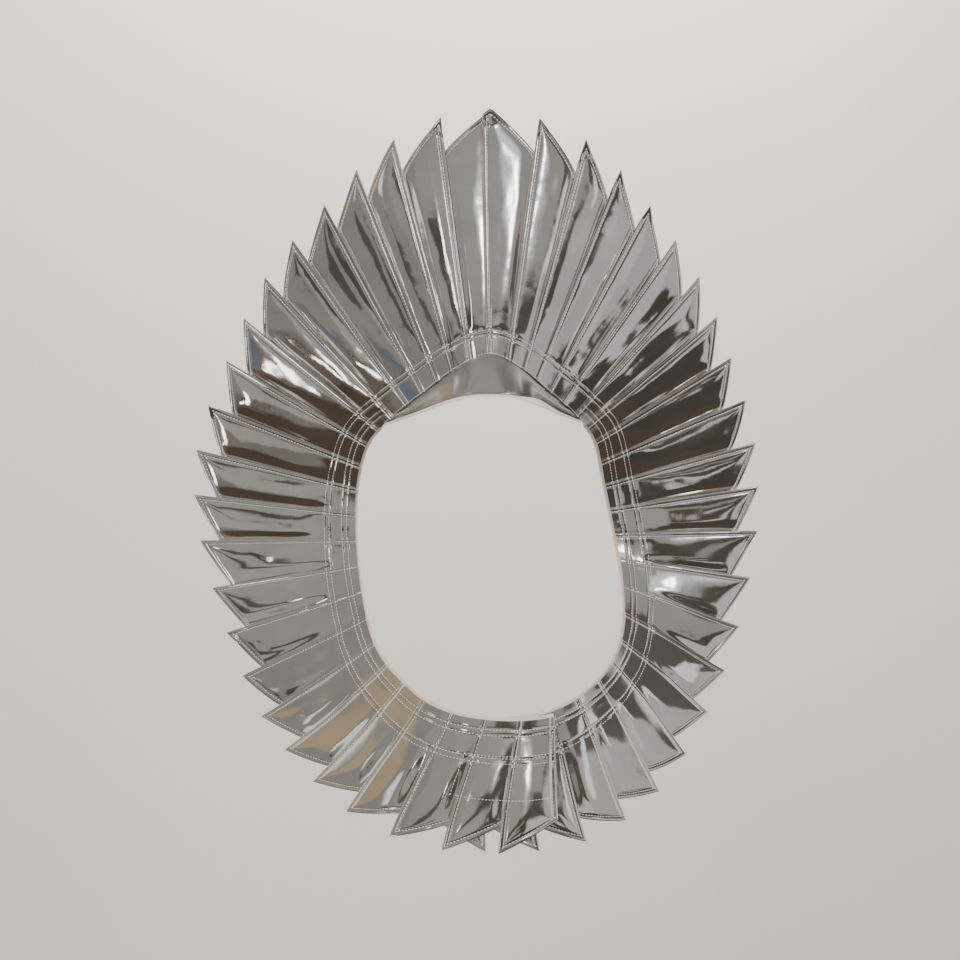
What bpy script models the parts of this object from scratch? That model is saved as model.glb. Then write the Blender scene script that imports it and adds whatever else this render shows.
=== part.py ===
# Costume wing collar: a loop of mirror vinyl with pointed blades standing out all round.
# The loop runs over the nape, over the shoulders, down past the armpits and across the lower
# back, where its two ends overlap and close.
# Metres, +Z up. The wearer faces +Y and +X is the wearer's right as seen from behind.
# The origin is the middle of the neck stand's lower edge, where the collar sits on the nape.

import math

import bpy
import bmesh
from mathutils import Vector

COLLECTION_NAME = "costume_wing_collar"
MM = 0.001

# Driving sizes
BLADES_PER_HALF = 23
CLOTH = 1.2 * MM
PIECE_GAP = 0.3 * MM
ROW_SPACING = 2

# A row for every second blade: where its leading edge starts on the loop (root), where it ends
# (tip), and how far below the tip the blade before it comes out from under it (notch).
# Right half, in millimetres. The last row lies beyond the closure and only guides the curve.
BLADE_ROWS = [
    # root x, y, z,    tip x, y, z,      notch
    (0, -10, 42,       0, -15, 282,      31),
    (34, -1, 28,       94, -10, 254,     30),
    (64, 27, 8,        164, 15, 196,     24),
    (96, 58, -15,      227, 52, 130,     25),
    (124, 92, -42,     273, 92, 48,      24),
    (138, 118, -90,    309, 122, -45,    26),
    (145, 127, -145,   310, 132, -145,   20),
    (145, 112, -201,   284, 124, -249,   20),
    (133, 72, -255,    242, 100, -338,   22),
    (101, 20, -289,    179, 45, -402,    23),
    (51, -12, -313,    95, -20, -436,    24),
    (-13, -21, -320,   -6, -37, -443,    25),
    (-85, -4, -315,    -128, -21, -429,  25),
]

# A row for every blade that the neck stand passes: the stand's lower edge, in millimetres
STAND_ROWS = [
    (0, 0, 0),
    (20, 0, -1),
    (37, 4, -4),
    (54, 13, -9),
    (70, 28, -14),
    (84, 44, -18),
    (99, 60, -22),
    (114, 74, -26),
]

# Shingling: each blade's leading edge stands proud and its trailing edge tucks under the next.
# The tuck and the lap at the centre of the nape are shares of a blade's width.
ROOT_STEP = 0.9 * MM
TIP_STEP = 2.2 * MM
TUCK = 0.22
CENTRE_LAP = 0.16

# Root band, measured from the loop's edge along the blades; the last two are counted in blades
BAND_WIDTH_AT_NAPE = 28 * MM
BAND_WIDTH_AT_WAIST = 46 * MM
BAND_LIP = 3 * MM
BAND_START_AT_STAND = 4 * MM
BAND_CENTRE_GAP = 0.01
LIP_RAMP = 0.6

# Neck stand: its end is counted in blades from the centre
STAND_END = 6.5
STAND_TOP = 3.4 * MM
STAND_BEND = 0.35
STAND_BEND_DEPTH = 1 * MM

# Closure: the left end lies over the right end; starts and ends are counted in blades
CLOSURE_LIFT = 9.5 * MM
LIFT_START = 17.5
LIFT_END = 20.0
TAPE_THICKNESS = 2 * MM
TAPE_GAP = 0.7 * MM
TAPE_START = 20.8
TAPE_END = 22.9
TAPE_NEAR = 33 * MM
TAPE_FAR = 75 * MM

# How it hangs on the wearer: the part under the arms is pulled to the right, less so at the tips,
# and the upper and the lower blades are turned a little. Ranges are depths below the origin,
# apart from the calm range, which is a distance from the middle.
SWAY = 16 * MM
SWAY_GROWS = (60 * MM, 250 * MM)
SWAY_FADES = (260 * MM, 450 * MM)
SWAY_LOST_AT_TIPS = 0.55
CALM_RANGE = (150 * MM, 270 * MM)
UPPER_TURN = 0.0145
UPPER_TURN_FADES = (180 * MM, 280 * MM)
LOWER_TURN = 0.05
LOWER_TURN_GROWS = (320 * MM, 420 * MM)

# Mesh fineness
BLADE_CELLS_ACROSS = 4
BLADE_CELLS_ALONG = 6
BAND_CELLS_PER_BLADE = 2
BAND_CELLS_ACROSS = 2
STAND_CELLS_ACROSS = 26
STAND_CELLS_UP = 5
TAPE_CELLS_ACROSS = 8
TAPE_CELLS_ALONG = 3
SLOPE_STEP = 0.01

# Colours and finish
BLADE_SHADE = 0.72
BAND_SHADE = 0.6
STAND_SHADE = 0.75
VINYL_ROUGHNESS = 0.12
TAPE_COLOUR = (0.55, 0.55, 0.56)
TAPE_ROUGHNESS = 0.95


def row_point(rows, index):
    """A row as a vector; rows before the first mirror it, and the last row is carried on."""
    if index < 0:
        x, y, z = rows[-index]
        return Vector((-x, y, z))
    if index >= len(rows):
        return Vector(rows[-1]) * 2 - Vector(rows[-2])
    return Vector(rows[index])


def spline_through(rows, row_count):
    """Catmull-Rom value at a distance from the first row, counted in rows."""
    first = min(math.floor(row_count), len(rows) - 2)
    share = row_count - first
    before, start, end, after = (row_point(rows, first + step) for step in (-1, 0, 1, 2))
    return 0.5 * (
        2 * start
        + (end - before) * share
        + (2 * before - 5 * start + 4 * end - after) * share ** 2
        + (3 * start - before - 3 * end + after) * share ** 3
    )


ROOT_ROWS = [row[0:3] for row in BLADE_ROWS]
TIP_ROWS = [row[3:6] for row in BLADE_ROWS]
NOTCH_ROWS = [(0, 0, row[6]) for row in BLADE_ROWS]


def root_at(station):
    """Point on the loop's edge, in metres, at a station counted in blades from the centre."""
    return spline_through(ROOT_ROWS, station / ROW_SPACING) * MM


def tip_at(station):
    """Point on the curve through the blades' tips."""
    return spline_through(TIP_ROWS, station / ROW_SPACING) * MM


def notch_at(station):
    """How far below its tip a blade is crossed by the blade before it."""
    return spline_through(NOTCH_ROWS, station / ROW_SPACING).z * MM


def length_at(station):
    """Length of a leading edge."""
    return (tip_at(station) - root_at(station)).length


def on_fan(station, share):
    """Point on the smooth surface that all blades follow, a share of the way to the tips."""
    return root_at(station).lerp(tip_at(station), share)


def outward_at(station, share):
    """Unit normal of the fan, on the side that faces away from the wearer's front."""
    along = on_fan(station + SLOPE_STEP, share) - on_fan(station - SLOPE_STEP, share)
    out = tip_at(station) - root_at(station)
    return along.cross(out).normalized()


def step_at(station, share):
    """Half the height of the step from one blade to the next."""
    return ROOT_STEP + TIP_STEP * share ** 2 * length_at(station) / length_at(0)


def smooth_ramp(value, start, end):
    """0 before start, 1 after end, with an even curve between."""
    share = min(max((value - start) / (end - start), 0.0), 1.0)
    return share * share * (3 - 2 * share)


def place(side, station, share, height):
    """World point at a height over the fan; side is 1 for the right half and -1 for the left."""
    if side < 0:
        height = height + CLOSURE_LIFT * smooth_ramp(station, LIFT_START, LIFT_END)
    point = on_fan(station, share) + outward_at(station, share) * height
    return Vector((side * point.x, point.y, point.z))


def as_worn(point):
    """The point moved by the way the collar hangs on the wearer."""
    sway = smooth_ramp(-point.z, *SWAY_GROWS) * (1 - smooth_ramp(-point.z, *SWAY_FADES))
    sway *= 1 - SWAY_LOST_AT_TIPS * smooth_ramp(abs(point.x), *CALM_RANGE)
    turn = UPPER_TURN * (1 - smooth_ramp(-point.z, *UPPER_TURN_FADES))
    turn -= LOWER_TURN * smooth_ramp(-point.z, *LOWER_TURN_GROWS)
    return point + Vector((SWAY * sway, 0, turn * point.x))


def sheet(name, cells_across, cells_along, thickness, position, side, material):
    """A closed sheet: a grid bent to position(across, along), both 0 to 1, and thickened."""
    mesh = bpy.data.meshes.new(name)
    grid = bmesh.new()
    bmesh.ops.create_grid(grid, x_segments=cells_across, y_segments=cells_along, size=0.5)
    for vertex in grid.verts:
        vertex.co = as_worn(position(vertex.co.x + 0.5, vertex.co.y + 0.5))
    if side > 0:
        bmesh.ops.reverse_faces(grid, faces=grid.faces)
    grid.to_mesh(mesh)
    grid.free()
    mesh.shade_smooth()
    mesh.materials.append(material)
    body = bpy.data.objects.new(name, mesh)
    thicken = body.modifiers.new("Cloth thickness", "SOLIDIFY")
    thicken.thickness = thickness
    thicken.offset = 0
    bpy.data.collections[COLLECTION_NAME].objects.link(body)


def plain_material(name, colour, roughness, metallic):
    """A Principled material."""
    material = bpy.data.materials.new(name)
    material.use_nodes = True
    shader = material.node_tree.nodes["Principled BSDF"]
    shader.inputs["Base Color"].default_value = (*colour, 1)
    shader.inputs["Roughness"].default_value = roughness
    shader.inputs["Metallic"].default_value = metallic
    return material


def mirror_vinyl(name, shade):
    """Silver metallised vinyl."""
    return plain_material("Mirror vinyl " + name, (shade, shade, shade), VINYL_ROUGHNESS, 1.0)


def build_blade(side, number):
    """One pointed blade: straight leading edge, sloping outer edge, trailing edge tucked under."""
    last = 1.0 if number == BLADES_PER_HALF - 1 else 1.0 + TUCK
    lap_columns = 1 if number == 0 else 0
    notch_share = notch_at(number + 1) / length_at(number + 1)

    def height_over_fan(across, share):
        step = step_at(number + across, share)
        if side < 0 and number == 0:
            return -step * max(1.0, 2 * across - 1)
        return step * (1 - 2 * max(across, 0.0))

    def position(across_share, along_share):
        column = BLADE_CELLS_ACROSS * across_share - lap_columns
        across = last * column / (BLADE_CELLS_ACROSS - lap_columns)
        across = max(across, -CENTRE_LAP)
        share = along_share * (1 - notch_share * abs(across))
        return place(side, number + across, share, height_over_fan(across, share))

    half = "right" if side > 0 else "left"
    name = f"blade_{half}_{number:02d}"
    material = mirror_vinyl(name, BLADE_SHADE)
    sheet(name, BLADE_CELLS_ACROSS, BLADE_CELLS_ALONG, CLOTH, position, side, material)


def band_depth(station, share):
    """Depth of the root band's middle below the fan, just under the blades' tucked edges."""
    lowest_blade = step_at(station, share) * (1 + 2 * TUCK) + CLOTH / 2
    return lowest_blade + PIECE_GAP + CLOTH / 2


def build_root_band(side):
    """The strip behind the blades; beyond the neck stand its edge shows along the opening."""
    last = float(BLADES_PER_HALF)

    def position(along_loop, across):
        station = BAND_CENTRE_GAP + (last - BAND_CENTRE_GAP) * along_loop
        past_stand = smooth_ramp(station, STAND_END, STAND_END + LIP_RAMP)
        start = BAND_START_AT_STAND - (BAND_START_AT_STAND + BAND_LIP) * past_stand
        width = BAND_WIDTH_AT_NAPE + (BAND_WIDTH_AT_WAIST - BAND_WIDTH_AT_NAPE) * along_loop
        share = (start + (width - start) * across) / length_at(station)
        return place(side, station, share, -band_depth(station, share))

    half = "right" if side > 0 else "left"
    name = f"root_band_{half}"
    material = mirror_vinyl(name, BAND_SHADE)
    cells = BLADES_PER_HALF * BAND_CELLS_PER_BLADE
    sheet(name, cells, BAND_CELLS_ACROSS, CLOTH, position, side, material)


def build_neck_stand():
    """The plain crescent at the nape, from its raw lower edge up behind the blades' roots."""

    def position(across, up):
        signed_station = STAND_END * (2 * across - 1)
        station = abs(signed_station)
        side = 1 if signed_station >= 0 else -1
        lower = spline_through(STAND_ROWS, station) * MM
        top_share = STAND_TOP / length_at(station)
        depth = band_depth(station, top_share)
        upper = place(1, station, top_share, -depth)
        bend_share = STAND_BEND * (upper - lower).length / length_at(station)
        bend = place(1, station, -bend_share, -depth - STAND_BEND_DEPTH)
        point = lower.lerp(bend, up).lerp(bend.lerp(upper, up), up)
        return Vector((side * point.x, point.y, point.z))

    material = mirror_vinyl("neck_stand", STAND_SHADE)
    sheet("neck_stand", STAND_CELLS_ACROSS, STAND_CELLS_UP, CLOTH, position, 1, material)


def build_closure_tape():
    """The hook-and-loop patch behind the left end, pressed on the right end's blades."""

    def position(along_loop, along_blade):
        station = TAPE_START + (TAPE_END - TAPE_START) * along_loop
        share = (TAPE_NEAR + (TAPE_FAR - TAPE_NEAR) * along_blade) / length_at(station)
        band_back = band_depth(station, share) + CLOTH / 2
        return place(-1, station, share, -band_back - TAPE_GAP - TAPE_THICKNESS / 2)

    material = plain_material("Hook and loop tape", TAPE_COLOUR, TAPE_ROUGHNESS, 0.0)
    cells = (TAPE_CELLS_ACROSS, TAPE_CELLS_ALONG)
    sheet("closure_tape", *cells, TAPE_THICKNESS, position, -1, material)


for old in list(bpy.data.objects):
    bpy.data.objects.remove(old)
bpy.context.scene.collection.children.link(bpy.data.collections.new(COLLECTION_NAME))

for half_side in (1, -1):
    for blade_number in range(BLADES_PER_HALF):
        build_blade(half_side, blade_number)
    build_root_band(half_side)
build_neck_stand()
build_closure_tape()
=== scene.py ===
# Costume wing collar in silver mirror vinyl, shown as it is worn, from behind the wearer.
# Metres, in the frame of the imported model: +Z up, +Y the way the wearer faces, and the origin at
# the middle of the neck stand's lower edge.

import math

import bpy
import numpy as np
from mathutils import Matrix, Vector, noise


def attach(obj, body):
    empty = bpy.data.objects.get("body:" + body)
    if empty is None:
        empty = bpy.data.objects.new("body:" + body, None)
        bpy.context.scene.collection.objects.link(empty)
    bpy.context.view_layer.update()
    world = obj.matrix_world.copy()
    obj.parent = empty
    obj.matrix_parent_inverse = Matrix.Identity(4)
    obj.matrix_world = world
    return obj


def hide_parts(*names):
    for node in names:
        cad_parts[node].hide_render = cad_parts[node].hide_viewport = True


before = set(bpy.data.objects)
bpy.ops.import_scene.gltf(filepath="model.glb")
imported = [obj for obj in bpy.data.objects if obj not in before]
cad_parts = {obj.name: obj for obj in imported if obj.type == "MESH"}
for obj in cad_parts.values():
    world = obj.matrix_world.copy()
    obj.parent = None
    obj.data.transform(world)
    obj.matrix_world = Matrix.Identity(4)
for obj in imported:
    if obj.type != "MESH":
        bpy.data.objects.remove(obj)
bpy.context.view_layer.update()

# Root bands
# Two strips of mirror vinyl on a knitted backing, one for each half of the loop. Every blade is
# sewn to them with double rows. Past the neck stand their raw pale edge lines the opening.

MM = 0.001
BLADES_PER_HALF = 23
# The side of the middle that each half is on, as a sign of x, and its name
HALVES = ((1, "right"), (-1, "left"))
ROW_SPACING = 2

# A row for every second blade of the right half, in millimetres: where its leading edge starts on
# the loop, where it ends, and how far below the tip the blade before it comes out from under it.
# The last row lies beyond the closure and only guides the curve.
BLADE_ROWS = [
    # root x, y, z,    tip x, y, z,      notch
    (0, -10, 42,       0, -15, 282,      31),
    (34, -1, 28,       94, -10, 254,     30),
    (64, 27, 8,        164, 15, 196,     24),
    (96, 58, -15,      227, 52, 130,     25),
    (124, 92, -42,     273, 92, 48,      24),
    (138, 118, -90,    309, 122, -45,    26),
    (145, 127, -145,   310, 132, -145,   20),
    (145, 112, -201,   284, 124, -249,   20),
    (133, 72, -255,    242, 100, -338,   22),
    (101, 20, -289,    179, 45, -402,    23),
    (51, -12, -313,    95, -20, -436,    24),
    (-13, -21, -320,   -6, -37, -443,    25),
    (-85, -4, -315,    -128, -21, -429,  25),
]
# The columns that change sign across the middle
SIDEWAYS_COLUMNS = (0, 3)

# Layers: the cloth's thickness, the gap between pieces, half the step from one blade to the next
# at the root, what a nape blade's tip adds to that, and how far a blade runs in under the next
# one, as a share of its width
CLOTH = 1.2 * MM
PIECE_GAP = 0.3 * MM
ROOT_STEP = 0.9 * MM
TIP_STEP = 2.2 * MM
TUCK = 0.22
NAPE_BLADE_LENGTH = 240 * MM
# The left end is lifted over the closure between two stations. A station is a place along the
# loop, counted in blades from the nape.
CLOSURE_LIFT = 9.5 * MM
LIFT_START = 17.5
LIFT_END = 20.0

# How it hangs when it is worn: the lower part of the loop is pulled to the right, less so at the
# tips, and the upper and the lower blades are turned a little. Ranges are depths below the
# origin, apart from the calm range, which is a distance from the middle.
SWAY = 16 * MM
SWAY_GROWS = (60 * MM, 250 * MM)
SWAY_FADES = (260 * MM, 450 * MM)
SWAY_LOST_AT_TIPS = 0.55
CALM_RANGE = (150 * MM, 270 * MM)
UPPER_TURN = 0.0145
UPPER_TURN_FADES = (180 * MM, 280 * MM)
LOWER_TURN = 0.05
LOWER_TURN_GROWS = (320 * MM, 420 * MM)

# Beside the neck stand the band starts a little way out from the loop's edge. Past the stand's
# end, over the length of the ramp, it comes to reach inside the loop by a lip.
BAND_WIDTH_AT_NAPE = 28 * MM
BAND_WIDTH_AT_WAIST = 46 * MM
BAND_LIP = 3 * MM
BAND_START_AT_STAND = 4 * MM
BAND_CENTRE_GAP = 0.01
LIP_RAMP = 0.6
STAND_END = 6.5
BAND_CELLS = 230
BAND_ROWS_MM = (0, 1, 2, 3.4, 5, 9, 14, 20, 26, 32, 40, 46)
# Past the stand, the faces that start this near the loop's edge, or inside it, are raw edge
RAW_EDGE_FACES_END = 0.3 * MM
SHARP_ANGLE = math.radians(50)


def padded_rows(rows, sideways_columns):
    """Rows with two mirrored rows before the first and one carried on after the last."""
    rows = np.array(rows, dtype=float)
    flip = np.ones(rows.shape[1])
    flip[list(sideways_columns)] = -1
    return np.vstack([rows[2] * flip, rows[1] * flip, rows, 2 * rows[-1] - rows[-2]])


def spline_through(padded, row_count):
    """Catmull-Rom values at distances from the first row, counted in rows."""
    row_count = np.asarray(row_count, dtype=float)
    first = np.clip(np.floor(row_count).astype(int), -1, len(padded) - 5)
    share = (row_count - first)[..., None]
    before, start, end, after = (padded[first + 2 + step] for step in (-1, 0, 1, 2))
    return 0.5 * (
        2 * start
        + (end - before) * share
        + (2 * before - 5 * start + 4 * end - after) * share ** 2
        + (3 * start - before - 3 * end + after) * share ** 3
    )


FAN_ROWS = padded_rows(BLADE_ROWS, SIDEWAYS_COLUMNS)


def fan(station):
    """Root, tip, notch and length of the leading edge at stations counted in blades."""
    values = spline_through(FAN_ROWS, np.asarray(station) / ROW_SPACING) * MM
    root, tip, notch = values[..., 0:3], values[..., 3:6], values[..., 6]
    return root, tip, notch, np.linalg.norm(tip - root, axis=-1)


def on_fan(station, share):
    """Points on the smooth surface that all blades follow, a share of the way to the tips."""
    root, tip, _, _ = fan(station)
    return root + (tip - root) * np.asarray(share)[..., None]


def outward_at(station, share):
    """Unit normals of the fan, on the side that faces away from the wearer's front."""
    nearby = 0.01
    along = on_fan(station + nearby, share) - on_fan(station - nearby, share)
    root, tip, _, _ = fan(station)
    normal = np.cross(along, tip - root)
    return normal / np.linalg.norm(normal, axis=-1)[..., None]


def smooth_ramp(value, start, end):
    """0 before start, 1 after end, with an even curve between."""
    share = np.clip((np.asarray(value) - start) / (end - start), 0, 1)
    return share * share * (3 - 2 * share)


def step_at(station, share):
    """Half the height of the step from one blade to the next."""
    return ROOT_STEP + TIP_STEP * share ** 2 * fan(station)[3] / NAPE_BLADE_LENGTH


def place(side, station, share, height):
    """World points at a height over the fan; side is 1 for the right half, -1 for the left."""
    if side < 0:
        height = height + CLOSURE_LIFT * smooth_ramp(station, LIFT_START, LIFT_END)
    points = on_fan(station, share) + outward_at(station, share) * np.asarray(height)[..., None]
    return points * [side, 1, 1]


def as_worn(points):
    """The points moved by the way the collar hangs on the wearer."""
    x, y, z = points[..., 0], points[..., 1], points[..., 2]
    sway = smooth_ramp(-z, *SWAY_GROWS) * (1 - smooth_ramp(-z, *SWAY_FADES))
    sway = sway * (1 - SWAY_LOST_AT_TIPS * smooth_ramp(np.abs(x), *CALM_RANGE))
    turn = UPPER_TURN * (1 - smooth_ramp(-z, *UPPER_TURN_FADES))
    turn = turn - LOWER_TURN * smooth_ramp(-z, *LOWER_TURN_GROWS)
    return np.stack([x + SWAY * sway, y, z + turn * x], axis=-1)


def band_depth(station, share):
    """Depth of the band's middle below the fan, just under the blades' tucked edges."""
    return step_at(station, share) * (1 + 2 * TUCK) + CLOTH / 2 + PIECE_GAP + CLOTH / 2


def band_width(station):
    """The bands widen evenly from the nape to the waist."""
    widening = BAND_WIDTH_AT_WAIST - BAND_WIDTH_AT_NAPE
    return BAND_WIDTH_AT_NAPE + widening * station / BLADES_PER_HALF


def sheet(name, points, side, materials, face_materials=None):
    """A cloth sheet from a grid of points (across, along); materials are face, back, cut edge."""
    points = as_worn(points)
    across, along = points.shape[:2]
    index = np.arange(across * along).reshape(across, along)
    corners = [index[:-1, :-1], index[1:, :-1], index[1:, 1:], index[:-1, 1:]]
    if side < 0:
        corners.reverse()
    faces = np.stack(corners, axis=-1).reshape(-1, 4)
    mesh = bpy.data.meshes.new(name)
    mesh.from_pydata(points.reshape(-1, 3).tolist(), [], faces.tolist())
    for material in materials:
        mesh.materials.append(material)
    if face_materials is not None:
        mesh.polygons.foreach_set("material_index", face_materials.reshape(-1).astype(np.int32))
    draft = bpy.data.objects.new(name + ".draft", mesh)
    bpy.context.scene.collection.objects.link(draft)
    thicken = draft.modifiers.new("Cloth thickness", "SOLIDIFY")
    thicken.thickness = CLOTH
    thicken.offset = 0
    thicken.material_offset = 1
    thicken.material_offset_rim = 2
    evaluated = draft.evaluated_get(bpy.context.evaluated_depsgraph_get())
    finished = bpy.data.meshes.new_from_object(evaluated)
    bpy.data.objects.remove(draft)
    finished.name = name
    finished.shade_smooth()
    finished.set_sharp_from_angle(angle=SHARP_ANGLE)
    piece = bpy.data.objects.new(name, finished)
    bpy.context.scene.collection.objects.link(piece)
    return piece


def linear(hex_colour):
    """An sRGB hex colour as linear RGBA."""
    parts = [int(hex_colour[i:i + 2], 16) / 255 for i in (1, 3, 5)]
    return (*(c / 12.92 if c <= 0.04045 else ((c + 0.055) / 1.055) ** 2.4 for c in parts), 1)


def add_node(tree, kind, values=None, **settings):
    """Adds a node; values maps each input to a number, a colour or a socket to link."""
    node = tree.nodes.new(kind)
    for name, value in settings.items():
        setattr(node, name, value)
    for key, value in (values or {}).items():
        if isinstance(value, bpy.types.NodeSocket):
            tree.links.new(value, node.inputs[key])
        else:
            node.inputs[key].default_value = value
    return node


def start_material(name):
    """A new material's tree, its Object coordinates and its output node."""
    material = bpy.data.materials.new(name)
    material.use_nodes = True
    tree = material.node_tree
    tree.nodes.clear()
    where = add_node(tree, "ShaderNodeTexCoord").outputs["Object"]
    output = add_node(tree, "ShaderNodeOutputMaterial")
    return material, tree, where, output


def mirror_vinyl(name, bright, dull, clear=0.035, smeared=0.12):
    """Metallised PVC film, calendered onto knit: a mirror that ripples and smears a little."""
    # It shows what is round it sharp but bent, and hazier in patches where it was handled. The
    # pebbling of the film is drawn coarser than it is, so that it shows.
    smear_size, ripple_size, pebble_size = 62 * MM, 26 * MM, 2.4 * MM
    ripple_height, pebble_height = 1.2 * MM, 0.1 * MM
    material, tree, where, output = start_material(name)
    handled = add_node(tree, "ShaderNodeTexNoise", {
        "Vector": where, "Scale": 1 / smear_size, "Detail": 5.0,
    })
    tone = add_node(tree, "ShaderNodeValToRGB", {"Fac": handled.outputs["Fac"]})
    tone.color_ramp.elements[0].position = 0.3
    tone.color_ramp.elements[0].color = linear(dull)
    tone.color_ramp.elements[1].position = 0.62
    tone.color_ramp.elements[1].color = linear(bright)
    haze = add_node(tree, "ShaderNodeMapRange", {
        "Value": handled.outputs["Fac"], "From Min": 0.3, "From Max": 0.75,
        "To Min": clear, "To Max": smeared,
    })
    ripple = add_node(tree, "ShaderNodeTexNoise", {
        "Vector": where, "Scale": 1 / ripple_size, "Detail": 1.5,
    })
    pebbles = add_node(tree, "ShaderNodeTexNoise", {
        "Vector": where, "Scale": 1 / pebble_size, "Detail": 2.0,
    })
    wavy = add_node(tree, "ShaderNodeBump", {
        "Height": ripple.outputs["Fac"], "Strength": 0.35, "Distance": ripple_height,
    })
    pebbled = add_node(tree, "ShaderNodeBump", {
        "Height": pebbles.outputs["Fac"], "Strength": 0.12, "Distance": pebble_height,
        "Normal": wavy.outputs["Normal"],
    })
    shader = add_node(tree, "ShaderNodeBsdfPrincipled", {
        "Base Color": tone.outputs["Color"], "Metallic": 1.0, "Roughness": haze.outputs["Result"],
        "Coat Weight": 0.35, "Coat Roughness": 0.03, "Normal": pebbled.outputs["Normal"],
    })
    tree.links.new(shader.outputs["BSDF"], output.inputs["Surface"])
    return material


def woven_backing(name, pale, shadow):
    """Knitted polyester backing cloth, brushed: matt, with loops about 1 mm apart."""
    # Beside the mirror it looks flat, pale and a little furry
    loop_size, loop_height, patch_size = 1 * MM, 0.3 * MM, 16 * MM
    material, tree, where, output = start_material(name)
    loops = add_node(tree, "ShaderNodeTexVoronoi", {"Vector": where, "Scale": 1 / loop_size})
    patches = add_node(tree, "ShaderNodeTexNoise", {
        "Vector": where, "Scale": 1 / patch_size, "Detail": 3.0,
    })
    colour = add_node(tree, "ShaderNodeMix", {
        "Factor": patches.outputs["Fac"], "A": linear(pale), "B": linear(shadow),
    }, data_type="RGBA")
    knit = add_node(tree, "ShaderNodeBump", {
        "Height": loops.outputs["Distance"], "Strength": 0.6, "Distance": loop_height,
    })
    shader = add_node(tree, "ShaderNodeBsdfPrincipled", {
        "Base Color": colour.outputs[2], "Roughness": 0.9, "Sheen Weight": 0.3,
        "Normal": knit.outputs["Normal"],
    })
    tree.links.new(shader.outputs["BSDF"], output.inputs["Surface"])
    return material


# Only the outer face mirrors: the back and the raw edge show as matt, pale cloth
band_vinyl = mirror_vinyl("Metallised PVC, root band", "#F2F1EF", "#E2E0DE")
backing = woven_backing("Brushed polyester knit, back of the vinyl", "#D9D3CB", "#C2BAB1")
raw_edge = woven_backing("Raw cut edge of the backing, lilac beige", "#DCCFC6", "#C3B4AE")
band_materials = [band_vinyl, backing, raw_edge]


def root_band(side, half):
    """One half's band, from the nape's centre to its end at the closure."""
    station = np.linspace(BAND_CENTRE_GAP, BLADES_PER_HALF, BAND_CELLS + 1)[:, None]
    past_stand = smooth_ramp(station, STAND_END, STAND_END + LIP_RAMP)
    start = BAND_START_AT_STAND - (BAND_START_AT_STAND + BAND_LIP) * past_stand
    width = band_width(station)
    place_in_band = np.array(BAND_ROWS_MM)[None, :] / BAND_ROWS_MM[-1]
    distance = start + (width - start) * place_in_band
    length = fan(station)[3]
    share = distance / length
    station = station + 0 * share
    points = place(side, station, share, -band_depth(station, share))
    raw = (distance[:-1, :-1] < RAW_EDGE_FACES_END) & (past_stand[:-1] > 0.5)
    face_materials = np.where(raw, band_materials.index(raw_edge), 0)
    band = sheet(f"vinyl_band_{half}", points, side, band_materials, face_materials)
    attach(band, "root")
    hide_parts(f"root_band_{half}")


for side, half in HALVES:
    root_band(side, half)

# Neck stand
# A plain crescent of the same vinyl at the nape, cut in one piece and sewn behind the blades'
# roots. Its lower edge is left raw, so the pale backing shows as a thin line that rolls outwards.

# A row for every blade that the stand passes: its lower edge, in millimetres
STAND_ROWS = [
    (0, 0, 0),
    (20, 0, -1),
    (37, 4, -4),
    (54, 13, -9),
    (70, 28, -14),
    (84, 44, -18),
    (99, 60, -22),
    (114, 74, -26),
]
# Its upper edge lies this far out from the loop's edge. On the way there the crescent bends
# towards a point a share of its height below that edge, and a little deeper.
STAND_TOP = 3.4 * MM
STAND_BEND = 0.35
STAND_BEND_DEPTH = 1 * MM
STAND_CELLS = 180
STAND_EDGE_ROWS_UP = 6
STAND_VINYL_ROWS_UP = 24
# The raw edge takes at most this share of the height, where the crescent runs out
STAND_EDGE_MOST = 0.6
STAND_EDGE_ROLL = 1.4 * MM
STAND_EDGE_WIDTH = 2.4 * MM
# Right of the middle the raw edge curls outwards further; its place and spread are in blades
STAND_CURL_WIDTH = 4.5 * MM
STAND_CURL_AT = 3.2
STAND_CURL_SPREAD = 1.1

STAND_EDGE_ROWS = padded_rows(STAND_ROWS, (0,))


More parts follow.
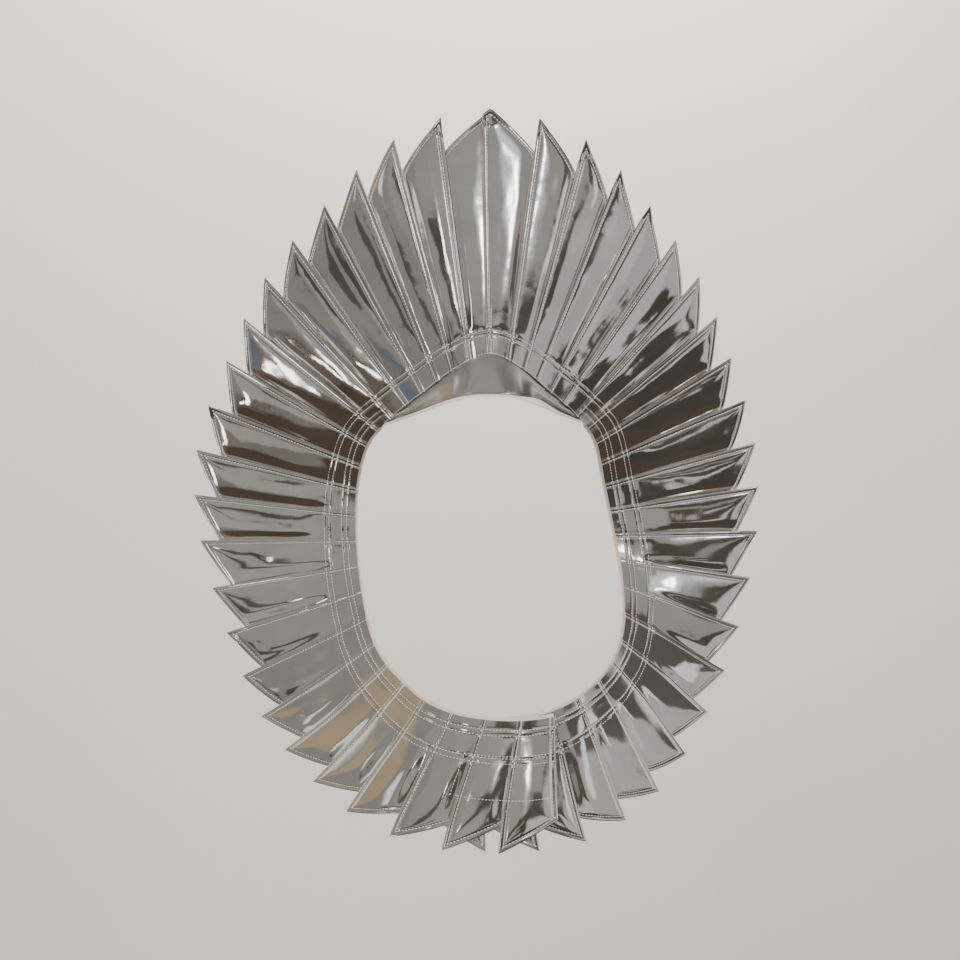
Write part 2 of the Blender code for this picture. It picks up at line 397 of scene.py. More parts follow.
def neck_stand():
    """The crescent, bent so that it runs in behind the blades' roots."""
    signed = np.linspace(-STAND_END, STAND_END, STAND_CELLS + 1)[:, None]
    station = np.abs(signed)
    lower = spline_through(STAND_EDGE_ROWS, station) * MM
    length = fan(station)[3]
    top_share = STAND_TOP / length
    depth = band_depth(station, top_share)
    upper = place(1, station, top_share, -depth)
    height = np.linalg.norm(upper - lower, axis=-1)
    bend = place(1, station, -STAND_BEND * height / length, -depth - STAND_BEND_DEPTH)
    from_curl = (signed - STAND_CURL_AT) / STAND_CURL_SPREAD
    curled = STAND_EDGE_WIDTH + STAND_CURL_WIDTH * np.exp(-from_curl ** 2)
    edge = np.minimum(curled / height[:, :1], STAND_EDGE_MOST)
    in_edge = edge * np.linspace(0, 1, STAND_EDGE_ROWS_UP + 1)[None, :-1]
    in_vinyl = edge + (1 - edge) * np.linspace(0, 1, STAND_VINYL_ROWS_UP + 1)[None, :]
    up = np.concatenate([in_edge, in_vinyl], axis=1)
    rise = up[..., None]
    to_bend = lower + (bend - lower) * rise
    to_top = bend + (upper - bend) * rise
    points = to_bend + (to_top - to_bend) * rise
    rolled = np.exp(-(up * height / curled) ** 2)[..., None] * STAND_EDGE_ROLL
    points = points + outward_at(station, 0 * station) * rolled
    points[..., 0] *= np.where(signed < 0, -1, 1)
    face_materials = np.zeros((STAND_CELLS, up.shape[1] - 1))
    face_materials[:, :STAND_EDGE_ROWS_UP] = stand_materials.index(raw_edge)
    stand = sheet("vinyl_stand", points, 1, stand_materials, face_materials)
    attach(stand, "root")
    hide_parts("neck_stand")


# The stand's film is the most handled, so it mirrors only broad tones
stand_vinyl = mirror_vinyl("Metallised PVC, neck stand", "#F2F1EF", "#E6E4E2", 0.2, 0.28)
stand_materials = [stand_vinyl, backing, raw_edge]
neck_stand()

# Blades
# Each blade is two layers of mirror vinyl over a stiffener, sewn round the edge: the narrow welt
# outside the stitch row stands up, the row sinks in, and the panel inside it swells and dents.
# Every blade lies over the one before it, and the last few millimetres of some tips are bent.

# How far the first blade of each half reaches over the middle, as a share of its width
CENTRE_LAP = 0.16
# The stitch row lies this far in from the edge. The welt outside it is rolled, the row a groove.
STITCH_INSET = 4 * MM
WELT_ROLL = 0.5 * MM
WELT_ROLL_WIDTH = 0.5 * MM
GROOVE_DEPTH = 0.5 * MM
GROOVE_WIDTH = 0.9 * MM
# Near the nape the panels are stretched flat; from the shoulders on they swell, bow and dent more.
# Each pair is the size at the nape and the size from the shoulders on.
SWELL = (1.3 * MM, 2.2 * MM)
SWELL_REACH = (6 * MM, 9 * MM)
CAMBER = (0.2 * MM, 0.9 * MM)
DENT = (0.35 * MM, 0.9 * MM)
SHOULDER_BLADES = (2, 6)
# At the right side the blades hang almost flat, with their leading edges a little raised
FLAT_RIGHT_BLADES = range(11, 17)
BOW_LEFT_WHEN_FLAT = 0.2
FLAT_EDGE_LIFT = 2.0 * MM
# A blade is sewn down at its root, free further out, and flat where the next one lies over it
FREE_RANGE = (12 * MM, 70 * MM)
LAPPED_RANGE = (0.72, 0.98)
LAPPED_DIP = 0.9 * MM
# How much the swell and the bow differ from blade to blade
SWELL_VARIES = 0.4
CAMBER_VARIES = 0.7
# Large dents, and small ones on top of them: how many across a blade, how long and how deep
DENTS_ACROSS = 1.3
DENT_LENGTH = 90 * MM
SMALL_DENTS_ACROSS = 3
SMALL_DENT_LENGTH = 0.42 * DENT_LENGTH
SMALL_DENT_SHARE = 0.35
# Neighbours curl together, a few blades at a time and more towards the tips
SHARED_CURL = 1.6 * MM
CURL_BLADES = 2.6
CURLS_ALONG = 1.6
CURL_GROWS = (0.15, 1.0)
# Where in the noise each blade and each half reads, so that no two look alike
SEED_STEP = 3.7
SEED_STARTS = {"right": 51.3, "left": 7.9}
SMALL_DENT_SEED = 20
CURL_SEEDS = {"right": 90.0, "left": 97.0}
# The rows that sew the blades to the band: distances out from the loop's edge, and in from the
# band's outer edge
BAND_ROW_GROOVE = 0.35 * MM
INNER_ROWS = (9 * MM, 14.5 * MM)
OUTER_ROWS_FROM_EDGE = (9 * MM, 4 * MM)
# Where a blade's mesh lines lie: in from its edges, over its panel and beside each sewn row
EDGE_LINES_MM = (0, 0.4, 0.9, 1.6, 2.4, 3.1, 3.6, 4.0, 4.4, 5.0, 6.0, 7.5, 10.0)
PANEL_COLUMNS = 16
PANEL_ROW_SPACING = 4.5 * MM
PANEL_END_GAP = 3 * MM
ROUNDING = 1e-9
GROOVE_LINES_MM = (-1.8, -0.9, 0, 0.9, 1.8)
# How far from the tip a bent end starts, and how softly
TIP_FOLD = 13 * MM
TIP_FOLD_SOFTNESS = 1.2 * MM
# How a fold is turned: shares of the distances from the leading edge and from the tip's height
TIP_FOLD_SQUARE = (0.0, 1.0)
TIP_FOLD_SLANTING = (0.52, 0.85)
# Blades whose tips are bent, by half and number, with the slope of the bend
BENT_TIPS = {
    ("right", 0): 0.5, ("left", 0): 0.5, ("left", 1): 0.55, ("right", 1): 0.3,
    ("right", 2): 0.5, ("right", 3): 0.3, ("right", 4): 0.35, ("left", 9): 0.25,
    ("right", 12): 0.3, ("left", 14): 0.3,
}


def sewn_rows(station):
    """Distances from the loop's edge of the rows that sew the blades to the band."""
    outer = [band_width(station) - inset for inset in OUTER_ROWS_FROM_EDGE]
    return ([] if station < STAND_END else list(INNER_ROWS)) + outer


def blade_width(number, share):
    """Distance from a blade's leading edge to the next one's, a share of the way out."""
    here = on_fan(number + 0 * share, share)
    beyond = on_fan(number + 1 + 0 * share, share)
    return np.linalg.norm(beyond - here, axis=-1)


def width_at_tip(number):
    """A blade's width at its tip."""
    return float(blade_width(number, np.array(1.0)))


def centre_lap(number):
    """How far a blade reaches past its leading edge over the middle, as a share of its width."""
    return CENTRE_LAP if number == 0 else 0


def slope_sine(number):
    """Sine of the angle between a blade's leading edge and its sloping outer edge."""
    notch = float(fan(number + 1)[2])
    width = width_at_tip(number)
    return width / math.hypot(width, notch)


def edge_distances(number, across, share):
    """Distances to the leading edge, to the outer slope and to the loop's edge."""
    _, _, notch, length = fan(number + 1 + 0 * across)
    width = blade_width(number, share)
    lead = (across + centre_lap(number)) * width
    slope = (1 - notch / length * np.abs(across) - share) * length * slope_sine(number)
    return lead, slope, share * fan(number + across)[3]


def perlin(x, y, seed):
    """Smooth noise between about -1 and 1 over arrays."""
    flat = [noise.noise(Vector((a, b, seed))) for a, b in zip(np.ravel(x), np.ravel(y))]
    return 2 * np.array(flat).reshape(np.shape(x))


def blade_height(side, number, across, share):
    """Height of a blade's middle over the fan, with its welt, stitch row, swell and dents."""
    half = "right" if side > 0 else "left"
    seed = SEED_STEP * number + SEED_STARTS[half]
    step = step_at(number + across, share)
    if side < 0 and number == 0:
        height = -step * np.maximum(1.0, 2 * across - 1)
    else:
        height = step * (1 - 2 * np.maximum(across, 0))
    lead, slope, out = edge_distances(number, across, share)
    edge = np.minimum(lead, slope)
    if number == BLADES_PER_HALF - 1:
        edge = np.minimum(edge, (1 - across) * blade_width(number, share))
    height = height - WELT_ROLL * np.exp(-edge / WELT_ROLL_WIDTH)
    height = height - GROOVE_DEPTH * np.exp(-((edge - STITCH_INSET) / GROOVE_WIDTH) ** 2)
    for row in sewn_rows(number + 0.5):
        height = height - BAND_ROW_GROOVE * np.exp(-((out - row) / GROOVE_WIDTH) ** 2)
    shoulder = float(smooth_ramp(number, *SHOULDER_BLADES))
    swell, reach, camber, dent = (
        nape + (lower - nape) * shoulder for nape, lower in (SWELL, SWELL_REACH, CAMBER, DENT)
    )
    inside = 1 - np.exp(-np.maximum(edge - STITCH_INSET, 0) / reach)
    clear = 1 - smooth_ramp(across, *LAPPED_RANGE)
    free = smooth_ramp(out, *FREE_RANGE)
    if half == "right" and number in FLAT_RIGHT_BLADES:
        camber *= BOW_LEFT_WHEN_FLAT
        dent *= BOW_LEFT_WHEN_FLAT
        height = height + FLAT_EDGE_LIFT * np.clip(1 - across, 0, 1) * free
    swell = swell * (1 + SWELL_VARIES * noise.noise(Vector((seed, 0.5, 0))))
    camber = camber * (1 + CAMBER_VARIES * noise.noise(Vector((seed, 5.5, 0))))
    inner = np.clip(across, 0, 1)
    height = height + camber * 4 * inner * (1 - inner) * free
    large = perlin(across * DENTS_ACROSS, out / DENT_LENGTH, seed)
    small = perlin(across * SMALL_DENTS_ACROSS, out / SMALL_DENT_LENGTH, seed + SMALL_DENT_SEED)
    dents = dent * large + SMALL_DENT_SHARE * dent * small
    height = height + inside * clear * free * (swell + dents)
    if side < 0 and number == 0:
        beside = np.maximum(across - CENTRE_LAP, 0) * blade_width(number, share)
        height = height - LAPPED_DIP * np.exp(-beside / reach)
    shared = perlin((number + across) / CURL_BLADES, share * CURLS_ALONG, CURL_SEEDS[half])
    height = height + SHARED_CURL * shared * smooth_ramp(share, *CURL_GROWS)
    if (half, number) in BENT_TIPS:
        from_lead, from_end = TIP_FOLD_SQUARE if number == 0 else TIP_FOLD_SLANTING
        length = fan(number + 0 * across)[3]
        from_tip = from_lead * lead + from_end * (1 - share) * length
        past_fold = np.logaddexp(0, (TIP_FOLD - from_tip) / TIP_FOLD_SOFTNESS) * TIP_FOLD_SOFTNESS
        height = height + BENT_TIPS[(half, number)] * past_fold
    return height


def share_limit(number, across):
    """The share at which a blade ends on its sloping outer edge."""
    _, _, notch, length = fan(number + 1 + 0 * across)
    return 1 - notch / length * np.abs(across)


def across_at(number, share, distance):
    """How far across a blade a point lies at a distance from its leading edge."""
    return distance / blade_width(number, share) - centre_lap(number)


def blade(side, half, number):
    """One blade's fine sheet; its lines crowd along the welt and the stitch rows."""
    edge_lines = np.array(EDGE_LINES_MM) * MM
    length = float(fan(number)[3])
    sine = slope_sine(number)
    rows = list(np.arange(0, length - edge_lines[-1] / sine - PANEL_END_GAP, PANEL_ROW_SPACING))
    rows += [row + line * MM for row in sewn_rows(number + 0.5) for line in GROOVE_LINES_MM]
    rows = np.unique(np.round(rows, 4))
    panel_end = 1 - edge_lines[-1] / sine / length
    row_shares = np.concatenate([rows / length, 1 - edge_lines[::-1] / sine / length])[None, :]
    last = 1.0 if number == BLADES_PER_HALF - 1 else 1.0 + TUCK
    near = across_at(number, row_shares, edge_lines[:, None])
    start = near[-1:, :]
    panel = start + (last - start) * np.linspace(0, 1, PANEL_COLUMNS + 1)[1:, None]
    across = np.concatenate([near, panel])
    if number == BLADES_PER_HALF - 1:
        far = 1.0 - edge_lines[::-1, None] / blade_width(number, row_shares)
        panel = start + (far[:1] - start) * np.linspace(0, 1, PANEL_COLUMNS + 1)[1:-1, None]
        across = np.concatenate([near, panel, far])
    limit = share_limit(number, across)
    in_panel = row_shares * (limit - (1 - panel_end)) / panel_end
    near_slope = limit - (1 - row_shares)
    share = np.where(row_shares > panel_end - ROUNDING, near_slope, in_panel)
    points = place(side, number + across, share, blade_height(side, number, across, share))
    panel_piece = sheet(f"vinyl_blade_{half}_{number:02d}", points, side, blade_materials)
    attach(panel_piece, "root")
    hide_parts(f"blade_{half}_{number:02d}")


# The blades' film is the clearest, so it mirrors small bright shapes, and its cut edge glints
blade_vinyl = mirror_vinyl("Metallised PVC, sewn blade", "#F3F2F0", "#E2E0DE")
cut_edge = mirror_vinyl("Cut edge of the metallised PVC", "#F6F5F2", "#E8E6E3")
blade_materials = [blade_vinyl, blade_vinyl, cut_edge]
for side, half in HALVES:
    for number in range(BLADES_PER_HALF):
        blade(side, half, number)

# Closure tape
# The hook-and-loop patch between the two overlapped ends, pressed together and hidden. It is
# woven nylon tape with hooks a little over 1 mm apart, which give it a matt, speckled grey look.

HOOK_SPACING = 1.25 * MM
HOOK_HEIGHT = 0.6 * MM

tape_material, tree, where, output = start_material("Woven nylon hook-and-loop tape")
hooks = add_node(tree, "ShaderNodeTexVoronoi", {"Vector": where, "Scale": 1 / HOOK_SPACING})
pile = add_node(tree, "ShaderNodeBump", {
    "Height": hooks.outputs["Distance"], "Strength": 0.8, "Distance": HOOK_HEIGHT,
})
tape_tone = add_node(tree, "ShaderNodeMix", {
    "Factor": hooks.outputs["Distance"], "A": linear("#C9C9CB"), "B": linear("#A9A9AC"),
}, data_type="RGBA")
nylon = add_node(tree, "ShaderNodeBsdfPrincipled", {
    "Base Color": tape_tone.outputs[2], "Roughness": 0.85, "Normal": pile.outputs["Normal"],
})
tree.links.new(nylon.outputs["BSDF"], output.inputs["Surface"])
for tape_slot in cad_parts["closure_tape"].material_slots:
    tape_slot.material = tape_material

# Stitches
# Machine stitches in pale grey polyester thread, about 3 mm long: one row round each blade, rows
# that sew the blades to the bands and to the stand, and the box that holds the closure tape.

STITCH_PITCH = 3.3 * MM
STITCH_LENGTH = 2.5 * MM
# The thread is drawn a little thicker, and twisted more coarsely, than it is, so that it shows
THREAD_WIDTH = 0.7 * MM
THREAD_RISE = 0.2 * MM
THREAD_TWIST = 1.1 * MM
THREAD_TWIST_HEIGHT = 0.1 * MM
GUIDE_SPACING = 2 * MM
# The row nearest the loop's edge, only beside the stand, and the station where the others end
ROOT_ROW = 1.2 * MM
LAST_STATION = 22.95
# Where a row starts and stops on each blade, clear of the steps between blades
ROW_START = 0.02
ROW_STOP = 0.98
# Points of the guide lines: a row's on each blade, an outer slope's, the end's and the box's
ROW_POINTS = 14
SLOPE_POINTS = 26
END_POINTS = 50
BOX_POINTS = 20
# The corner where a row turns at the tip is found in a few passes, each nearer than the last
CORNER_PASSES = 3
# The stitched box over the tape: its stations, and its distances out from the loop's edge
TAPE_BOX = {"start": 20.85, "end": 22.9, "near": 34 * MM, "far": 75 * MM}

# Spun thread is dull, so the rows read as pale dashes on the mirror
thread_material, tree, where, output = start_material("Spun polyester thread, pale grey")
twist = add_node(tree, "ShaderNodeTexNoise", {
    "Vector": where, "Scale": 1 / THREAD_TWIST, "Detail": 2.0,
})
thread_tone = add_node(tree, "ShaderNodeMix", {
    "Factor": twist.outputs["Fac"], "A": linear("#DDDBD9"), "B": linear("#C3C0BC"),
}, data_type="RGBA")
thread_bump = add_node(tree, "ShaderNodeBump", {
    "Height": twist.outputs["Fac"], "Strength": 0.4, "Distance": THREAD_TWIST_HEIGHT,
})
thread_shader = add_node(tree, "ShaderNodeBsdfPrincipled", {
    "Base Color": thread_tone.outputs[2], "Roughness": 0.55, "Sheen Weight": 0.2,
    "Normal": thread_bump.outputs["Normal"],
})
tree.links.new(thread_shader.outputs["BSDF"], output.inputs["Surface"])


def stitch_tree():
    """Geometry nodes that lay a stitch at every pitch along each guide line."""
    tree = bpy.data.node_groups.new("Stitches along guides", "GeometryNodeTree")
    face = tree.interface
    face.new_socket("Geometry", in_out="INPUT", socket_type="NodeSocketGeometry")
    for name in ("Pitch", "Stitch length", "Thread width"):
        face.new_socket(name, in_out="INPUT", socket_type="NodeSocketFloat")
    face.new_socket("Thread", in_out="INPUT", socket_type="NodeSocketMaterial")
    face.new_socket("Geometry", in_out="OUTPUT", socket_type="NodeSocketGeometry")
    given = add_node(tree, "NodeGroupInput").outputs
    line = add_node(tree, "GeometryNodeMeshToCurve", {"Mesh": given["Geometry"]})
    points = add_node(tree, "GeometryNodeResampleCurve", {
        "Curve": line.outputs["Curve"], "Length": given["Pitch"],
    }, mode="LENGTH")
    tangent = add_node(tree, "GeometryNodeInputTangent")
    turn = add_node(tree, "FunctionNodeAlignRotationToVector", {
        "Vector": tangent.outputs["Tangent"],
    }, axis="Z")
    size = add_node(tree, "ShaderNodeCombineXYZ", {
        "X": given["Thread width"], "Y": given["Thread width"], "Z": given["Stitch length"],
    })
    bead = add_node(tree, "GeometryNodeMeshUVSphere", {"Segments": 6, "Rings": 4, "Radius": 0.5})
    stitches = add_node(tree, "GeometryNodeInstanceOnPoints", {
        "Points": points.outputs["Curve"], "Instance": bead.outputs["Mesh"],
        "Rotation": turn.outputs["Rotation"], "Scale": size.outputs["Vector"],
    })
    real = add_node(tree, "GeometryNodeRealizeInstances", {"Geometry": stitches.outputs[0]})
    dressed = add_node(tree, "GeometryNodeSetMaterial", {
        "Geometry": real.outputs["Geometry"], "Material": given["Thread"],
    })
    add_node(tree, "NodeGroupOutput", {"Geometry": dressed.outputs["Geometry"]})
    return tree


stitch_group = stitch_tree()


def sew(name, guides):
    """One piece that holds the stitches along all its guide lines."""
    vertices = as_worn(np.concatenate(guides))
    edges = []
    start = 0
    for guide in guides:
        edges += [(start + i, start + i + 1) for i in range(len(guide) - 1)]
        start += len(guide)
    mesh = bpy.data.meshes.new(name + ".guides")
    mesh.from_pydata(vertices.tolist(), edges, [])
    draft = bpy.data.objects.new(name + ".draft", mesh)
    bpy.context.scene.collection.objects.link(draft)
    modifier = draft.modifiers.new("Stitches", "NODES")
    modifier.node_group = stitch_group
    values = {
        "Pitch": STITCH_PITCH, "Stitch length": STITCH_LENGTH, "Thread width": THREAD_WIDTH,
        "Thread": thread_material,
    }
    for socket in stitch_group.interface.items_tree:
        if socket.in_out == "INPUT" and socket.name in values:
            modifier[socket.identifier] = values[socket.name]
    evaluated = draft.evaluated_get(bpy.context.evaluated_depsgraph_get())
    finished = bpy.data.meshes.new_from_object(evaluated)
    bpy.data.objects.remove(draft)
    finished.name = name
    finished.shade_smooth()
    piece = bpy.data.objects.new(name, finished)
    bpy.context.scene.collection.objects.link(piece)
    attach(piece, "root")


def on_blade(side, number, across, share):
    """Points just proud of a blade's outer face, where its thread lies."""
    height = blade_height(side, number, across, share) + CLOTH / 2 + THREAD_RISE
    return place(side, number + across, share, height)


def round_blade(side, number):
    """The row inside a blade's welt: up the leading edge, then down the outer slope."""
    length = float(fan(number)[3])
    inset = STITCH_INSET / slope_sine(number) / length
    corner = 1 - inset
    for _ in range(CORNER_PASSES):
        across = float(across_at(number, np.array(corner), STITCH_INSET))
        corner = float(share_limit(number, np.array(across))) - inset
    count = int(length / GUIDE_SPACING)
    share = np.linspace(ROOT_ROW / length, corner, count)
    up = on_blade(side, number, across_at(number, share, STITCH_INSET), share)
    corner_across = float(across_at(number, np.array(corner), STITCH_INSET))
    across = np.linspace(corner_across, 1.0, SLOPE_POINTS)
    down = on_blade(side, number, across, share_limit(number, across) - inset)
    guides = [up, down]
    if number == BLADES_PER_HALF - 1:
        end = float(share_limit(number, np.array(1.0))) - inset
        share = np.linspace(ROOT_ROW / length, end, END_POINTS)
        across = 1 - STITCH_INSET / blade_width(number, share)
        guides.append(on_blade(side, number, across, share))
    return guides


def across_blades(side, distance_at, first, last):
    """A row at a distance from the loop's edge, broken at each step between blades."""
    guides = []
    for number in range(int(first), min(int(math.ceil(last)), BLADES_PER_HALF)):
        begin = max(first, number + ROW_START) if number else first
        station = np.linspace(begin, min(last, number + ROW_STOP), ROW_POINTS)
        share = distance_at(station) / fan(station)[3]
        guides.append(on_blade(side, number, station - number, share))
    return guides


def even_row(distance):
    """A row that keeps one distance from the loop's edge, as a function of the station."""
    return lambda station: distance + 0 * station


def outer_row(inset):
    """A row that follows the band's outer edge, as a function of the station."""
    return lambda station: band_width(station) - inset


for side, half in HALVES:
    blade_guides = []
    for number in range(BLADES_PER_HALF):
        blade_guides += round_blade(side, number)
    sew(f"blade_stitches_{half}", blade_guides)
    loop_guides = across_blades(side, even_row(ROOT_ROW), 0.0, STAND_END)
    for distance in INNER_ROWS:
        loop_guides += across_blades(side, even_row(distance), STAND_END, LAST_STATION)
    for inset in OUTER_ROWS_FROM_EDGE:
        loop_guides += across_blades(side, outer_row(inset), 0.0, LAST_STATION)
    sew(f"band_stitches_{half}", loop_guides)

box_guides = []
for distance in (TAPE_BOX["near"], TAPE_BOX["far"]):
    box_guides += across_blades(-1, even_row(distance), TAPE_BOX["start"], TAPE_BOX["end"])
box_length = float(fan(TAPE_BOX["start"])[3])
box_share = np.linspace(TAPE_BOX["near"], TAPE_BOX["far"], BOX_POINTS) / box_length
for station in (TAPE_BOX["start"], TAPE_BOX["end"]):
    number = int(station)
    box_guides.append(on_blade(-1, number, station - number + 0 * box_share, box_share))
sew("closure_stitches", box_guides)

# Camera
# The photograph was taken level, from behind the wearer and a little to the left, close enough
# that the near parts look larger.

PIXELS_WIDE = 960
CAMERA_PLACE = (-0.085, -1.15, -0.083)
CAMERA_YAW = math.radians(3.8)
FOCAL_PIXELS = 1150

camera_data = bpy.data.cameras.new("Camera")
camera_data.sensor_width = 36
camera_data.lens = FOCAL_PIXELS / PIXELS_WIDE * camera_data.sensor_width
camera = bpy.data.objects.new("Camera", camera_data)
camera.location = CAMERA_PLACE
camera.rotation_euler = (math.radians(90), 0, -CAMERA_YAW)
bpy.context.scene.collection.objects.link(camera)
bpy.context.scene.camera = camera

# Studio
# A pale floor and a pale backdrop well behind the collar, three soft lamps, and a plain room for
# the mirror vinyl to reflect, made of patches of grey, dark and lilac tone and small bright ones.

FLOOR_HEIGHT = -1.42
WALL_DISTANCE = 1.95
STAGE_WIDTH = 14
PAINT_PATCHES_PER_METRE = 1.2


def plain_sheet(name, corners, material):
    """A flat backdrop."""
    mesh = bpy.data.meshes.new(name)
    mesh.from_pydata(corners, [], [(0, 1, 2, 3)])
    mesh.materials.append(material)
    backdrop = bpy.data.objects.new(name, mesh)
    backdrop.visible_glossy = False
    bpy.context.scene.collection.objects.link(backdrop)


def painted(name, near, far):
    """Flat emulsion paint, rolled on: matt and a little uneven, so nothing shows in it."""
    material, tree, where, output = start_material(name)
    patches = add_node(tree, "ShaderNodeTexNoise", {
        "Vector": where, "Scale": PAINT_PATCHES_PER_METRE, "Detail": 2.0,
    })
    colour = add_node(tree, "ShaderNodeMix", {
        "Factor": patches.outputs["Fac"], "A": linear(near), "B": linear(far),
    }, data_type="RGBA")
    shader = add_node(tree, "ShaderNodeBsdfPrincipled", {
        "Base Color": colour.outputs[2], "Roughness": 0.9,
    })
    tree.links.new(shader.outputs["BSDF"], output.inputs["Surface"])
    return material


half_width = STAGE_WIDTH / 2
plain_sheet("studio_floor", [
    (-half_width, -half_width, FLOOR_HEIGHT), (half_width, -half_width, FLOOR_HEIGHT),
    (half_width, WALL_DISTANCE, FLOOR_HEIGHT), (-half_width, WALL_DISTANCE, FLOOR_HEIGHT),
], painted("Pale floor paint", "#DAD8D4", "#D2CFCA"))
plain_sheet("studio_wall", [
    (-half_width, WALL_DISTANCE, FLOOR_HEIGHT), (half_width, WALL_DISTANCE, FLOOR_HEIGHT),
    (half_width, WALL_DISTANCE, half_width), (-half_width, WALL_DISTANCE, half_width),
], painted("Pale wall paint", "#DCDAD8", "#D5D2CF"))


def soft_lamp(name, place_at, aim, size, power, colour):
    """A large soft lamp that lights the cloth but doesn't show in the mirror."""
    data = bpy.data.lights.new(name, "AREA")
    data.shape = "RECTANGLE"
    data.size, data.size_y = size
    data.energy = power
    data.color = linear(colour)[:3]
    lamp = bpy.data.objects.new(name, data)
    lamp.location = place_at
    lamp.rotation_euler = (Vector(aim) - Vector(place_at)).to_track_quat("-Z", "Y").to_euler()
    lamp.visible_glossy = False
    bpy.context.scene.collection.objects.link(lamp)


# A row for each lamp: name, place, what it aims at, size, power in watts and colour
LAMPS = [
    ("key_lamp", (-1.2, -1.9, 1.6), (0, 0, -0.1), (1.6, 1.2), 120, "#FFF8F0"),
    ("fill_lamp", (1.8, -1.2, 0.6), (0, 0.1, -0.1), (1.4, 1.4), 50, "#EEF2FF"),
    ("wall_lamp", (0.2, 0.9, 2.4), (0.2, WALL_DISTANCE, 0.2), (2.6, 0.8), 130, "#FFFAF4"),
]
for lamp in LAMPS:
    soft_lamp(*lamp)

# A smooth noise bends the directions that the room is painted by, so no patch has straight sides
BEND_SCALE = 2.2
BEND = 0.22
BACKDROP_COLOUR = "#D3D0CC"
BACKDROP_STRENGTH = 1.7

world = bpy.data.worlds.new("Room around the collar")
bpy.context.scene.world = world
world.use_nodes = True
tree = world.node_tree
tree.nodes.clear()
towards = add_node(tree, "ShaderNodeTexCoord").outputs["Generated"]
bend_noise = add_node(tree, "ShaderNodeTexNoise", {
    "Vector": towards, "Scale": BEND_SCALE, "Detail": 3.0,
})
both_ways = add_node(tree, "ShaderNodeVectorMath", {
    0: bend_noise.outputs["Color"], 1: (0.5, 0.5, 0.5),
}, operation="SUBTRACT")
bent = add_node(tree, "ShaderNodeVectorMath", {
    0: both_ways.outputs["Vector"], 1: (BEND, BEND, BEND), 2: towards,
}, operation="MULTIPLY_ADD")
axes = add_node(tree, "ShaderNodeSeparateXYZ", {"Vector": bent.outputs["Vector"]})


def between(socket, low, high, soft):
    """1 where a coordinate lies between two limits, with soft sides, else 0."""
    rising = add_node(tree, "ShaderNodeMapRange", {
        "Value": socket, "From Min": low - soft, "From Max": low + soft,
    }, interpolation_type="SMOOTHSTEP")
    falling = add_node(tree, "ShaderNodeMapRange", {
        "Value": socket, "From Min": high - soft, "From Max": high + soft,
        "To Min": 1.0, "To Max": 0.0,
    }, interpolation_type="SMOOTHSTEP")
    return add_node(tree, "ShaderNodeMath", {
        0: rising.outputs["Result"], 1: falling.outputs["Result"],
    }, operation="MULTIPLY").outputs["Value"]


def glowing(colour, strength):
    """An sRGB hex colour as linear RGBA, made brighter."""
    return tuple(strength * channel for channel in linear(colour)[:3]) + (1,)


def lay_over(under, colour, strength, x_range, y_range, z_range, soft):
    """Lays one patch of light or shade of the room over what is there already."""
    masks = [
        between(axes.outputs[axis], *limits, soft)
        for axis, limits in (("X", x_range), ("Y", y_range), ("Z", z_range))
    ]
    mask = add_node(tree, "ShaderNodeMath", {0: masks[0], 1: masks[1]}, operation="MULTIPLY")
    mask = add_node(tree, "ShaderNodeMath", {
        0: mask.outputs["Value"], 1: masks[2],
    }, operation="MULTIPLY")
    mixed = add_node(tree, "ShaderNodeMix", {
        "Factor": mask.outputs["Value"], "A": under, "B": glowing(colour, strength),
    }, data_type="RGBA")
    return mixed.outputs[2]


ANY = (-2.0, 2.0)
NEAR_SIDE = (-2.0, 0.1)
FAR_SIDE = (0.30, 2.0)
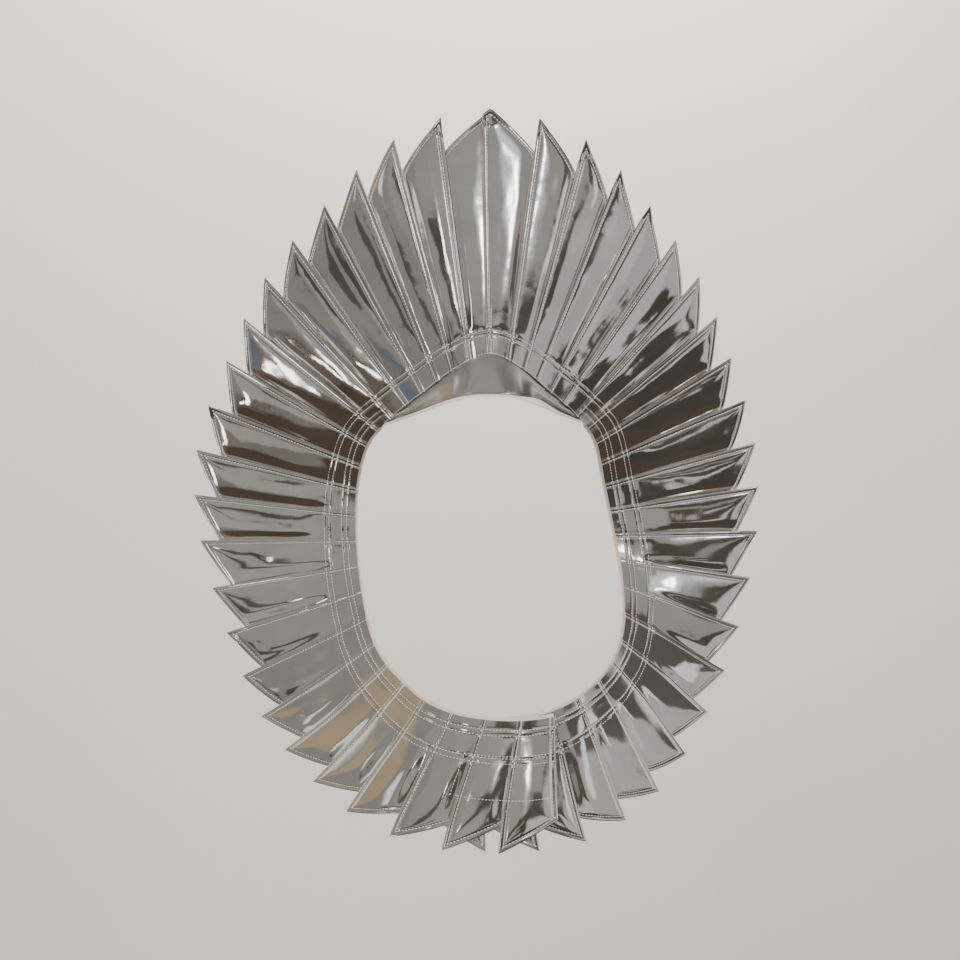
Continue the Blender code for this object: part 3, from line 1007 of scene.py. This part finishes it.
# A row for each part of the room: colour, strength, x, y and z range of directions, softness.
# Later rows lie over earlier ones.
ROOM = [
    # Broad tones above, below and at the sides
    ("#8F8D89", 1.25, ANY, ANY, (0.01, 2.0), 0.02),
    ("#6F6A64", 1.25, ANY, ANY, (-2.0, -0.36), 0.03),
    ("#43403C", 1.15, (0.20, 2.0), ANY, (-2.0, -0.40), 0.02),
    ("#4A4038", 1.2, ANY, ANY, (-2.0, -0.64), 0.03),
    ("#514849", 1.1, (-0.60, 0.0), ANY, (-0.25, 0.0), 0.02),
    ("#8A8783", 1.25, (-2.0, -0.33), ANY, (-0.10, 2.0), 0.02),
    ("#7E7B77", 1.25, (-2.0, -0.58), ANY, (-0.48, 2.0), 0.02),
    ("#8D8985", 1.25, (0.45, 2.0), ANY, (-0.01, 2.0), 0.02),
    ("#8D8985", 1.25, (0.70, 2.0), ANY, (-0.12, 2.0), 0.02),
    ("#A39E9C", 1.3, (0.74, 2.0), ANY, (-0.38, 0.05), 0.02),
    ("#57524D", 1.2, (0.69, 2.0), ANY, (0.03, 0.6), 0.02),
    # A warm tone far to the left, which the lower left blades mirror
    ("#9C8A70", 1.3, (-2.0, -0.87), (-0.45, 0.0), (0.04, 0.5), 0.03),
    # What the flat blades at the right and the neck stand mirror
    ("#46433D", 1.2, (0.27, 0.50), ANY, (-0.37, -0.17), 0.015),
    ("#4A4642", 1.2, (0.28, 0.64), ANY, (-0.09, 0.005), 0.015),
    ("#8F8D89", 1.3, (-0.20, 0.22), ANY, (-0.62, -0.09), 0.03),
    ("#8F8D89", 1.3, (-0.40, -0.18), ANY, (-0.18, -0.07), 0.02),
    ("#84817D", 1.3, (0.18, 0.42), ANY, (-0.16, -0.09), 0.02),
    ("#C9C7C9", 1.6, (-0.84, -0.77), ANY, (-0.08, 0.16), 0.015),
    ("#C9C7C9", 1.6, (0.84, 0.90), ANY, (-0.08, 0.16), 0.015),
    # Pale bands along the leading edges
    ("#B4ADB2", 1.35, (0.28, 0.43), ANY, (-0.42, -0.37), 0.012),
    ("#B4ADB2", 1.3, (0.26, 0.36), ANY, (-0.27, -0.235), 0.012),
    ("#B4ADB2", 1.3, (0.50, 0.80), ANY, (-0.45, -0.16), 0.015),
    ("#A6A0A3", 1.3, (0.78, 2.0), ANY, (-0.40, -0.12), 0.015),
    ("#938F8B", 1.3, (-0.62, -0.15), ANY, (-0.52, -0.25), 0.02),
    # Small dark and bright shapes
    ("#4E4B47", 1.2, (-0.84, -0.72), NEAR_SIDE, (-0.34, -0.14), 0.01),
    ("#5F564C", 1.25, (-0.74, -0.48), NEAR_SIDE, (-0.72, -0.53), 0.02),
    ("#5C6672", 1.2, (-0.80, -0.72), NEAR_SIDE, (-0.55, -0.50), 0.01),
    ("#B5ACB0", 1.4, (0.76, 0.86), NEAR_SIDE, (-0.52, -0.45), 0.01),
    ("#4B4643", 1.2, (-0.45, -0.24), NEAR_SIDE, (-0.05, 0.05), 0.01),
    ("#FFFFFF", 5.0, (-0.315, -0.265), NEAR_SIDE, (-0.02, 0.045), 0.008),
    ("#C7C7CE", 1.6, (0.24, 0.44), NEAR_SIDE, (0.07, 0.30), 0.05),
    ("#FFFFFF", 8.0, (0.29, 0.37), NEAR_SIDE, (0.11, 0.20), 0.02),
    ("#FFFFFF", 6.0, (-0.68, -0.60), NEAR_SIDE, (-0.62, -0.59), 0.01),
    ("#FFFFFF", 5.0, (-0.57, -0.52), NEAR_SIDE, (-0.62, -0.43), 0.008),
    # The far side, which only the inner faces mirror
    ("#C9C4BE", 1.5, ANY, (0.15, 2.0), ANY, 0.15),
    ("#7D776F", 1.3, ANY, FAR_SIDE, (-2.0, -0.34), 0.06),
    ("#8B8985", 1.3, (-0.30, 0.42), FAR_SIDE, (0.16, 0.46), 0.04),
    ("#A19D98", 1.3, ANY, FAR_SIDE, (0.62, 2.0), 0.06),
]
room_colour = linear("#534D44")
for colour, strength, x_range, y_range, z_range, soft in ROOM:
    room_colour = lay_over(room_colour, colour, strength, x_range, y_range, z_range, soft)
seen_directly = add_node(tree, "ShaderNodeLightPath").outputs["Is Camera Ray"]
background = add_node(tree, "ShaderNodeMix", {
    "Factor": seen_directly, "A": room_colour, "B": glowing(BACKDROP_COLOUR, BACKDROP_STRENGTH),
}, data_type="RGBA")
glow = add_node(tree, "ShaderNodeBackground", {"Color": background.outputs[2], "Strength": 1.0})
add_node(tree, "ShaderNodeOutputWorld", {"Surface": glow.outputs["Background"]})
